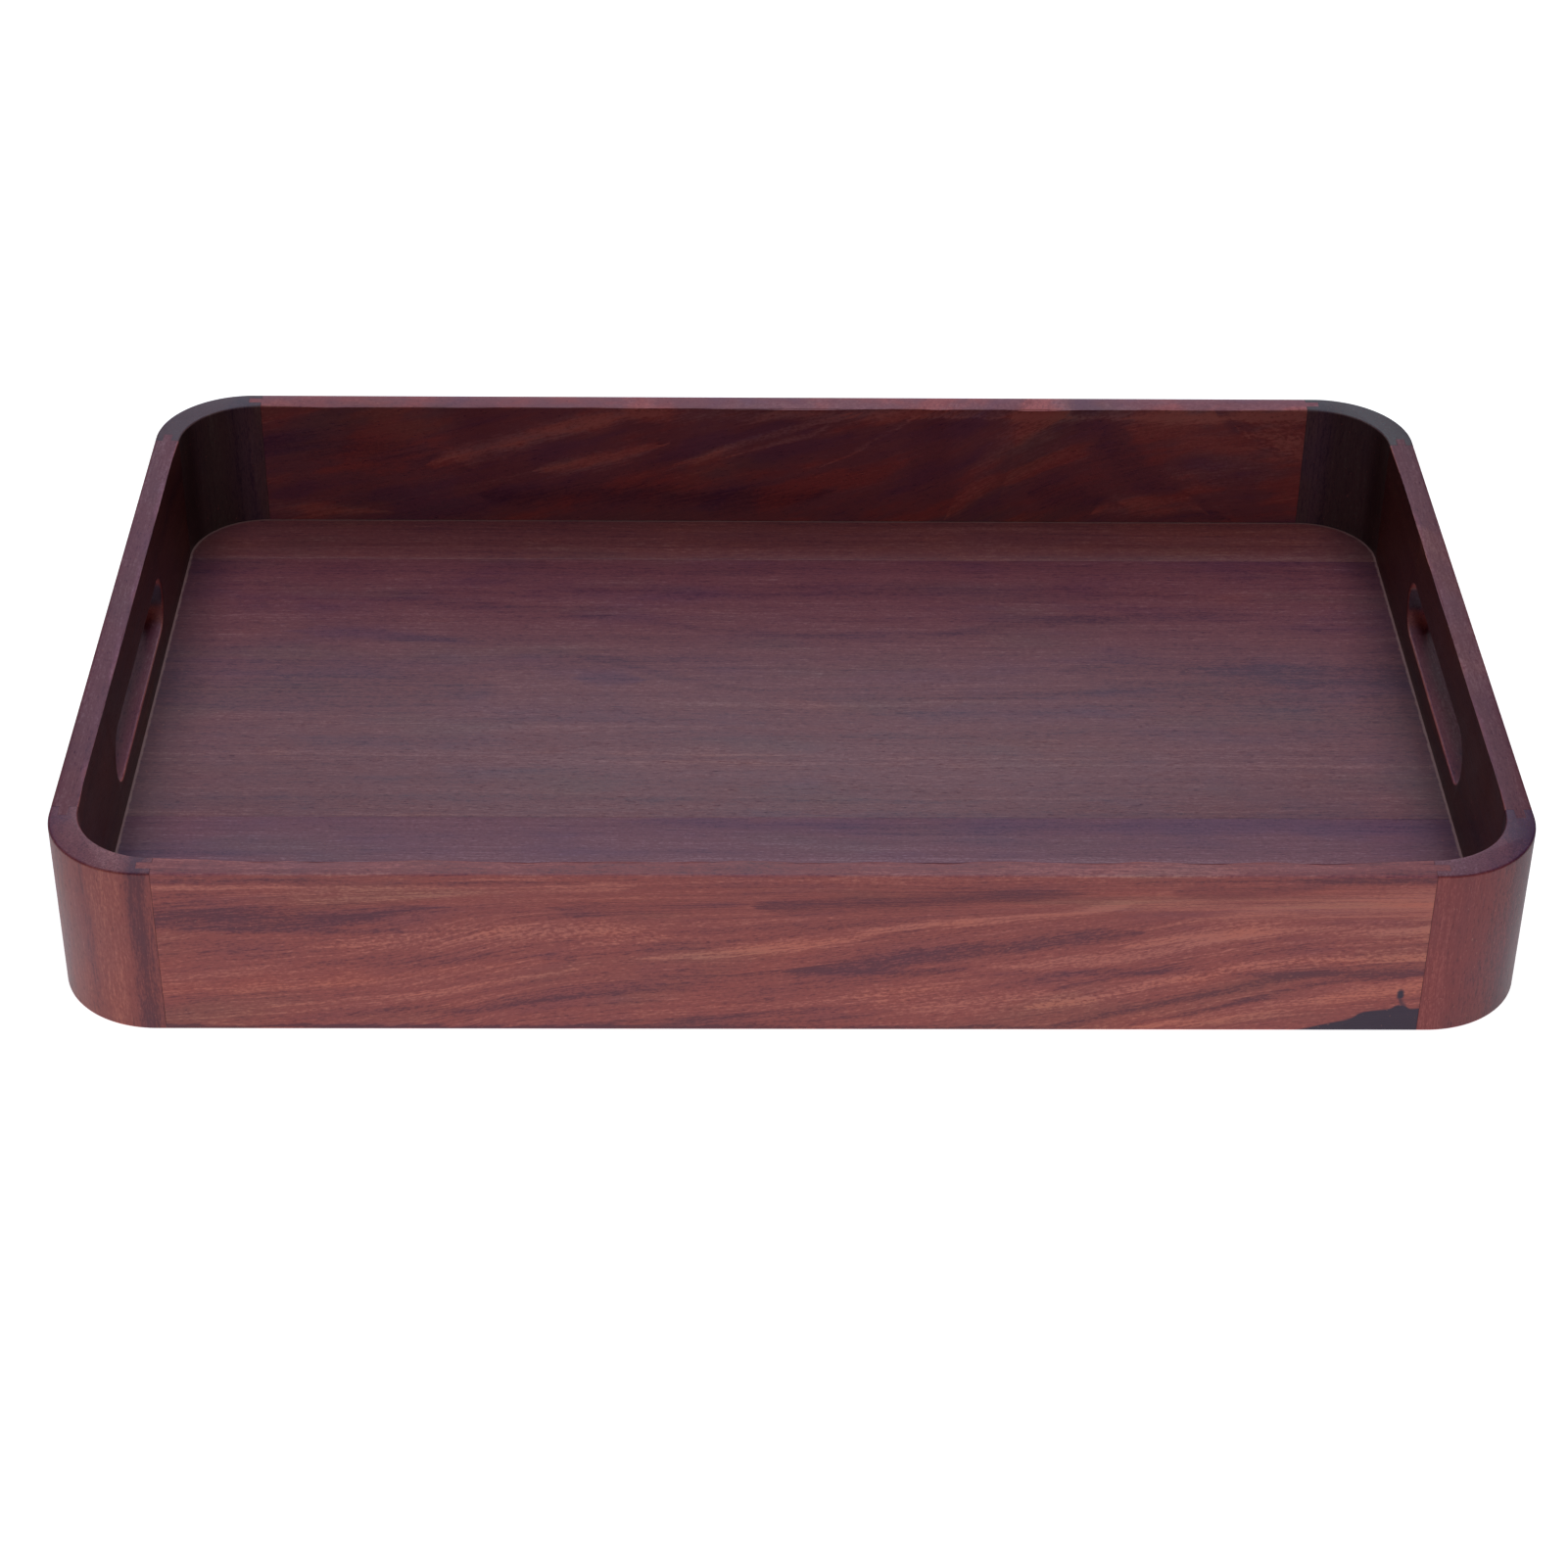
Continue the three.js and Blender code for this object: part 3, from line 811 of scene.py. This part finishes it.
    # End grain on the top and bottom faces; its multiplier also paints the sheen of the top.
    if end_grain_and_sheen:
        split = recipe.node("ShaderNodeSeparateXYZ")
        recipe.feed(split.inputs[0], looks)
        cap = recipe.fade(recipe.math("ABSOLUTE", split.outputs["Z"]), 0.6, 0.95)
        speckle = recipe.noise(recipe.vector(across, deep, along), (0.5, 0.5, 3), 2.0)
        capped = recipe.tint(stained, end_grain_and_sheen)
        capped = recipe.mix(recipe.fade(speckle, 0.0, 0.3), capped, colours.dark)
        stained = recipe.mix(cap, stained, capped)
    if extra:
        stained = extra(recipe, stained, along, across, tremble, colours)
    dust = recipe.fade(recipe.noise(raw, (1.1, 0.7, 0.8), 0.0), 0.29, 0.36)
    stained = recipe.mix(recipe.math("MULTIPLY", dust, 0.5), stained, colours.light)

    gloss = recipe.sum((0.14, patchy), (0.14, lines), (0.16, pores))
    relief = recipe.sum((0.7, fibres), (0.7, lines), (-0.8, pores), (0.5, drift), (0.3, grit))
    bump = recipe.node("ShaderNodeBump")
    bump.inputs["Strength"].default_value = 0.45
    bump.inputs["Distance"].default_value = 0.12 * MM
    recipe.feed(bump.inputs["Height"], relief)
    return recipe.surface(
        {
            "Base Color": stained,
            "Specular IOR Level": specular,
            "IOR": 1.5,
            "Roughness": recipe.math("ADD", gloss, 0.42, clamp=True),
            "Normal": bump.outputs[0],
        }
    )


def bark_pocket(recipe, stained, along, across, tremble, colours):
    """The blue-black pocket and the small knot at the foot of the front rail, by the right-hand block."""
    low_end = [(154, 0), (159, 1.2), (165, 3.2), (171, 4.6)]
    high_end = [(176, 7.4), (183, 8.6), (187, 10.2), (190, 8.6), (194, 9)]
    edge = recipe.curve(along, low_end + high_end)
    ragged = recipe.sum((1.0, edge), (2.0, tremble), (-1.0, across))
    pocket = recipe.math("MULTIPLY", recipe.fade(ragged, -0.4, 0.5), recipe.fade(along, 153, 155))
    (x, y), (half_width, half_height) = (186.2, 14.2), (1.3, 1.9)
    knot_x = recipe.math("MULTIPLY_ADD", along, 1 / half_width, -x / half_width)
    knot_y = recipe.math("MULTIPLY_ADD", across, 1 / half_height, -y / half_height)
    knot = recipe.fade(recipe.sum((1.0, recipe.hypot(knot_x, knot_y)), (1.5, tremble)), 1.25, 0.6)
    stem_path = [(185.5, 13.5, 0), (186.5, 11.5, 1.6), (187.6, 9.8, 1.6), (189, 8, 0)]
    stem = recipe.streak(along, across, stem_path)
    bark = recipe.math("MAXIMUM", pocket, knot)
    mask = recipe.math("MAXIMUM", bark, recipe.math("MULTIPLY", stem, 0.7))
    return recipe.mix(mask, stained, colours.bark)


def wall_foot_shade_and_highlight(recipe, stained, along, across, tremble, colours):
    """Painted shade by the end walls, and a thin light line, the painted highlight of lacquer gathered at the
    walls' feet.
    """
    radius = INNER_RADIUS / MM
    half = (WELL_HALF_LENGTH / MM - radius, WELL_HALF_WIDTH / MM - radius)
    past = [
        recipe.math("MAXIMUM", recipe.math("SUBTRACT", recipe.math("ABSOLUTE", axis), limit), 0.0)
        for axis, limit in zip((along, across), half)
    ]
    inset = recipe.math("SUBTRACT", radius, recipe.hypot(*past))
    from_end = recipe.math("SUBTRACT", WELL_HALF_LENGTH / MM, recipe.math("ABSOLUTE", along))
    # Painted shade: darker within about 24 mm of the end walls.
    shaded_by_end_walls = recipe.tint(stained, (0.42, 0.48, 0.52))
    stained = recipe.mix(recipe.fade(from_end, 24.0, -3.0), stained, shaded_by_end_walls)
    # Painted highlight: a thin light line along the walls' feet, where the lacquer gathered.
    line = recipe.fade(recipe.sum((1.0, inset), (0.9, tremble)), 1.1, 0.5)
    return recipe.mix(recipe.math("MULTIPLY", line, 0.6), stained, (0.52, 0.30, 0.27))


FRONT_RAIL_WOOD = dict(
    figure=FRONT_FIGURE,
    seed=1,
    contrast=0.62,
    fine=0.95,
    figuring=1.0,
    glow=(1.08, 1.0, 0.90),
    flow=FRONT_FLOW,
    stain=(1.34, 1.12, 1.10),
    # Painted sheen on the rim's top, and a painted highlight on its eased front edge.
    faces=[((0, 0, 1), (1.05, 0.95, 1.15)), ((0, -DIAGONAL, DIAGONAL), (1.5, 2.2, 2.5))],
    extra=bark_pocket,
)

BACK_RAIL_WOOD = dict(
    figure=BACK_FIGURE,
    seed=5,
    flow=BACK_FLOW,
    contrast=0.24,
    fine=0.42,
    mottle=2.4,
    figuring=0.75,
    specular=0.4,
    glow=(1.35, 0.98, 0.80),
    stain=(1.26, 1.46, 1.75),
    # Painted sheen on the rim's top (darker and purpler), and painted shade on the outer back face, which the
    # rear soft box lights strongly.
    faces=[((0, 0, 1), (0.95, 0.72, 0.92)), ((0, 1, 0), (0.72, 0.62, 0.60))],
)


def ply(name, colours, grain):
    """Plain unstained ply inside the base."""
    recipe = Recipe(name)
    along, across, deep = grain_axes(recipe, grain)
    place = recipe.vector(along, across, deep)
    lines = recipe.noise(place, (60, 1.2, 2), 3.0)
    fibres = recipe.noise(place, (12, 0.3, 0.4), 2.0)
    shade = recipe.math("ADD", recipe.sum((0.7, lines), (0.4, fibres)), 0.5)
    dim = tuple(0.6 * part for part in colours.ply)
    colour = recipe.ramp(shade, [(0.1, dim), (0.9, tuple(colours.ply))])
    return recipe.surface({"Base Color": colour, "Roughness": 0.8})


# ----------------------------------------------------------------------------
# Operators


class TRAY_OT_long_rails(bpy.types.Operator):
    """Model the front and back rails, with a tongue on each end"""

    bl_idname = "tray.long_rails"
    bl_label = "Long rails"

    def execute(self, context):
        sizes, colours = context.scene.tray_sizes, context.scene.tray_colours
        span = 2 * (HALF_LENGTH - BLOCK_LEG)
        offset = HALF_WIDTH - WALL / 2
        for node, turn, side, settings in (
            ("front_rail", 0, -1, FRONT_RAIL_WOOD),
            ("back_rail", math.pi, 1, BACK_RAIL_WOOD),
        ):
            rail = model_rail(f"{node}_wood", span, sizes, False)
            place(rail, turn, (0, side * offset, 0))
            finish(rail, node, wood(f"{node}_wood", colours, "X", **settings))
        return {"FINISHED"}


class TRAY_OT_handle_rails(bpy.types.Operator):
    """Model the two end rails with their hand slots"""

    bl_idname = "tray.handle_rails"
    bl_label = "Handle rails"

    def execute(self, context):
        sizes, colours = context.scene.tray_sizes, context.scene.tray_colours
        span = 2 * (HALF_WIDTH - BLOCK_LEG)
        offset = HALF_LENGTH - WALL / 2
        for node, turn, side, figure, seed in (
            ("left_handle_rail", -math.pi / 2, -1, LEFT_FIGURE, 9),
            ("right_handle_rail", math.pi / 2, 1, RIGHT_FIGURE, 13),
        ):
            rail = model_rail(f"{node}_wood", span, sizes, True)
            place(rail, turn, (side * offset, 0, 0))
            # Painted shade on the inner face and the slot ends, painted sheen on the top face, and a painted
            # highlight on the rim's inner eased edge.
            faces = [
                ((-side, 0, 0), SHADED_SIDE_FACE),
                ((0, -1, 0), SHADED_SLOT_END),
                ((0, 0, 1), (0.88, 1.05, 1.65) if side < 0 else (0.74, 0.80, 1.25)),
                ((-side * DIAGONAL, 0, DIAGONAL), (1.6, 1.9, 2.0)),
            ]
            material = wood(
                f"{node}_wood",
                colours,
                "Y",
                figure,
                seed,
                contrast=0.6,
                fine=0.75,
                specular=0.22,
                faces=faces,
            )
            finish(rail, node, material)
        return {"FINISHED"}


class TRAY_OT_corner_blocks(bpy.types.Operator):
    """Model one rounded corner block and copy it to the four corners"""

    bl_idname = "tray.corner_blocks"
    bl_label = "Corner blocks"

    def execute(self, context):
        sizes, colours = context.scene.tray_sizes, context.scene.tray_colours
        pattern = model_corner_block("corner_block_pattern", sizes)
        for node, side_x, side_y, figure, seed, stain, end_grain_and_sheen in BLOCKS:
            turn = math.atan2(side_y, side_x) - math.pi / 4
            block = duplicate(pattern, f"{node}_wood")
            place(block, turn, (side_x * HALF_LENGTH, side_y * HALF_WIDTH, 0))
            # Painted shade inside the well, and on the back blocks' outer faces.
            faces = [
                ((-side_x, 0, 0), SHADED_SIDE_FACE),
                ((-side_x * DIAGONAL, -side_y * DIAGONAL, 0), SHADED_WELL_CORNER),
            ]
            if side_y > 0:
                faces.append(((side_x * DIAGONAL, side_y * DIAGONAL, 0), SHADED_BACK_OUTSIDE, 0.25, 0.6))
            material = wood(
                f"{node}_wood",
                colours,
                "Z",
                figure,
                seed,
                coarse=1.3,
                contrast=0.40,
                fine=0.75,
                glow=(1.08, 1.0, 0.90),
                stain=stain,
                faces=faces,
                end_grain_and_sheen=end_grain_and_sheen,
            )
            finish(block, node, material)
        bpy.data.meshes.remove(pattern.data)
        return {"FINISHED"}


class TRAY_OT_base_panel(bpy.types.Operator):
    """Model the veneer leaves of the base and give the plies inside it their finish"""

    bl_idname = "tray.base_panel"
    bl_label = "Base panel"

    def execute(self, context):
        sizes, colours = context.scene.tray_sizes, context.scene.tray_colours
        end, edge = PANEL_HALF_LENGTH, PANEL_HALF_WIDTH
        low, high = LEAF_LOW.z, LEAF_HIGH.z
        for node, stain, warmth, seed in LEAVES:
            front, back = (corner.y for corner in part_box(node))
            seams = [y for y in (front, back) if abs(y) < edge - NEAR]
            leaf = model_leaf(
                f"{node}_wood",
                (-end, front, low),
                (end, back, high),
                lambda p: abs(p.y) > edge - NEAR,
                seams,
                sizes,
            )
            material = wood(
                f"{node}_wood",
                colours,
                "FLOOR",
                FLOOR_FIGURE,
                seed,
                warmth=warmth,
                contrast=0.45,
                fine=0.95,
                mottle=0.9,
                figuring=0.8,
                stain=stain,
                extra=wall_foot_shade_and_highlight,
            )
            finish(leaf, node, material)

        backing = model_leaf(
            "base_backing_veneer_wood",
            (-end, -edge, BACKING_LOW.z),
            (end, edge, BACKING_HIGH.z),
            lambda p: True,
            (),
            sizes,
        )
        finish(backing, "base_backing_veneer", wood("backing_wood", colours, "FLOOR", [], 43))

        along, crosswise = ply("long_ply", colours, "FLOOR"), ply("cross_ply", colours, "Y")
        for node, material in (
            ("base_core_ply", along),
            ("base_upper_crossband", crosswise),
            ("base_lower_crossband", crosswise),
        ):
            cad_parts[node].data.materials.clear()
            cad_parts[node].data.materials.append(material)
        return {"FINISHED"}


# ----------------------------------------------------------------------------
# Stage

CAMERA_PLACE = (-17.77 * MM, -987.81 * MM, 670.02 * MM)
CAMERA_PITCH, CAMERA_YAW, CAMERA_ROLL = (math.radians(a) for a in (34.595, 0.965, 0.685))
CAMERA_LENS = 79.73

SOFTBOX_DISTANCE = 2.0
SOFTBOX_AIM = (0, 0, 0.03)
SOFTBOX_TINT = (0.93, 1.0, 1.12)

# Each soft box: name, azimuth and elevation in degrees, width and height in metres, radiance.
SOFTBOXES = (
    ("backdrop", 0, 26, 1.75, 1.62, 0.75),
    ("rear_softbox", 0, 57, 1.06, 0.63, 2.6),
    ("overhead_softbox", 0, 84, 0.6, 0.9, 2.5),
    ("front_softbox", 180, 58, 0.35, 1.1, 2.3),
)

TABLE_SIZE = 60
TABLE_GLOW = 0.62
TABLE_GLOW_ADDED_IN_VIEW = 0.35


def add_softbox(name, azimuth, elevation, width, height, radiance):
    """A soft box that faces the tray. Azimuth 0 is behind the tray and 180 is on the camera's side."""
    azimuth, elevation = math.radians(azimuth), math.radians(elevation)
    reach = SOFTBOX_DISTANCE * math.cos(elevation)
    away = Vector(
        (reach * math.sin(azimuth), reach * math.cos(azimuth), SOFTBOX_DISTANCE * math.sin(elevation))
    )
    deselect()
    bpy.ops.object.light_add(type="AREA", location=away + Vector(SOFTBOX_AIM))
    lamp = bpy.context.object
    lamp.name = lamp.data.name = name
    lamp.rotation_euler = (-away).to_track_quat("-Z", "Y").to_euler()
    lamp.data.shape = "RECTANGLE"
    lamp.data.size, lamp.data.size_y = width, height
    lamp.data.energy = math.pi * width * height * radiance
    lamp.data.color = SOFTBOX_TINT
    lamp.visible_camera = False


class TRAY_OT_stage(bpy.types.Operator):
    """Set up the light table, the soft boxes and the camera"""

    bl_idname = "tray.stage"
    bl_label = "Stage"

    def execute(self, context):
        colours = context.scene.tray_colours
        deselect()
        bpy.ops.mesh.primitive_plane_add(size=TABLE_SIZE, location=(0, 0, 0))
        table = bpy.context.object
        table.name = "light_table"
        recipe = Recipe("light_table")
        seen = recipe.node("ShaderNodeLightPath").outputs["Is Camera Ray"]
        glow = recipe.math("MULTIPLY_ADD", seen, TABLE_GLOW_ADDED_IN_VIEW, TABLE_GLOW)
        material = recipe.surface(
            {
                "Base Color": (*colours.table, 1.0),
                "Roughness": 0.9,
                "Emission Color": (1, 1, 1, 1),
                "Emission Strength": glow,
            }
        )
        table.data.materials.append(material)

        for softbox in SOFTBOXES:
            add_softbox(*softbox)

        world = bpy.data.worlds.new("studio")
        world.use_nodes = True
        backdrop = world.node_tree.nodes["Background"]
        seen = world.node_tree.nodes.new("ShaderNodeLightPath")
        world.node_tree.links.new(seen.outputs["Is Camera Ray"], backdrop.inputs["Color"])
        backdrop.inputs["Strength"].default_value = 1.0
        context.scene.world = world
        context.scene.view_settings.view_transform = "Standard"

        deselect()
        bpy.ops.object.camera_add()
        camera = bpy.context.object
        camera.name = "camera"
        camera.matrix_world = (
            Matrix.Translation(CAMERA_PLACE)
            @ Matrix.Rotation(-CAMERA_YAW, 4, "Z")
            @ Matrix.Rotation(math.pi / 2 - CAMERA_PITCH, 4, "X")
            @ Matrix.Rotation(CAMERA_ROLL, 4, "Z")
        )
        camera.data.lens = CAMERA_LENS
        camera.data.sensor_width = 36
        context.scene.camera = camera
        return {"FINISHED"}


class TRAY_PT_panel(bpy.types.Panel):
    """Lists the tray's pieces, sizes and colours"""

    bl_idname = "TRAY_PT_panel"
    bl_label = "Serving tray"
    bl_space_type = "VIEW_3D"
    bl_region_type = "UI"
    bl_category = "Serving tray"

    def draw(self, context):
        for operator in OPERATORS:
            self.layout.operator(operator.bl_idname)
        for group in (context.scene.tray_sizes, context.scene.tray_colours):
            for name in group.__annotations__:
                self.layout.prop(group, name)


OPERATORS = (
    TRAY_OT_stage,
    TRAY_OT_long_rails,
    TRAY_OT_handle_rails,
    TRAY_OT_corner_blocks,
    TRAY_OT_base_panel,
)
CLASSES = (TraySizes, TrayColours, *OPERATORS, TRAY_PT_panel)


def register():
    for each in CLASSES:
        bpy.utils.register_class(each)
    bpy.types.Scene.tray_sizes = PointerProperty(type=TraySizes)
    bpy.types.Scene.tray_colours = PointerProperty(type=TrayColours)


def unregister():
    del bpy.types.Scene.tray_colours
    del bpy.types.Scene.tray_sizes
    for each in reversed(CLASSES):
        bpy.utils.unregister_class(each)


def main():
    register()
    bpy.ops.tray.stage()
    bpy.ops.tray.long_rails()
    bpy.ops.tray.handle_rails()
    bpy.ops.tray.corner_blocks()
    bpy.ops.tray.base_panel()


if __name__ == "__main__":
    main()
